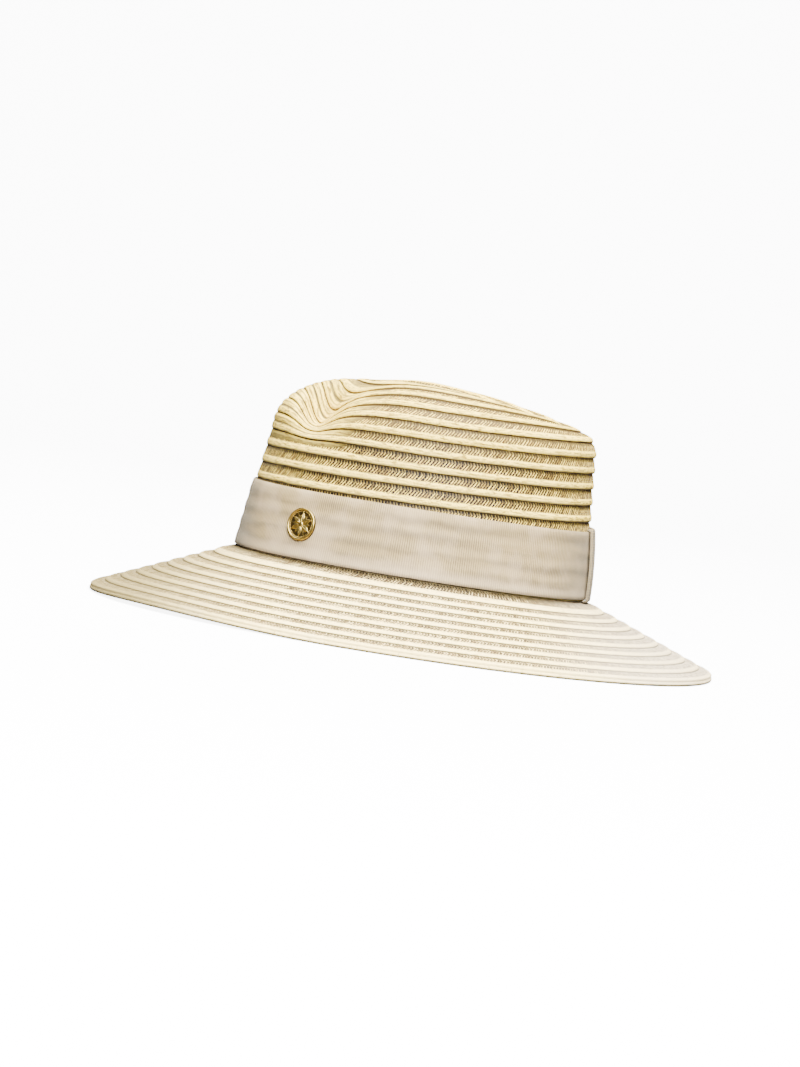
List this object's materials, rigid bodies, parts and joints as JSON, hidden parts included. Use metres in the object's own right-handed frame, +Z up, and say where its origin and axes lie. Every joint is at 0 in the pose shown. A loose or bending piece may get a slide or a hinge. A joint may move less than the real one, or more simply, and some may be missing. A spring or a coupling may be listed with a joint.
{
  "type": "straw fedora",
  "caption": "Sewn straw-braid fedora with a pinched front crown, sloping brim, ribbon band with a back tab, and a round rosette badge on the side.",
  "frame": {"origin": "centre of the brim's bounding box, on the surface that the hat rests on", "axes": "+Z up, -Y to the front of the hat, +X to the wearer's left, where the badge is"},
  "size_m": [0.3198, 0.354, 0.1411],
  "materials": {
    "crown_straw": "natural straw braid, open herringbone between dense sewn ridges, semi-matt",
    "brim_straw": "pale straw braid, close rows, semi-matt",
    "ribbon": "grosgrain ribbon, fine upright ribs, soft sheen",
    "badge_gold": "antique gold tone, polished high points, dark recesses"
  },
  "bodies": {
    "root": {"crown": "crown_straw", "brim": "brim_straw", "hat_band": "ribbon", "band_tab": "ribbon", "badge": "badge_gold", "badge_stud": "badge_gold"}
  },
  "joints": []
}
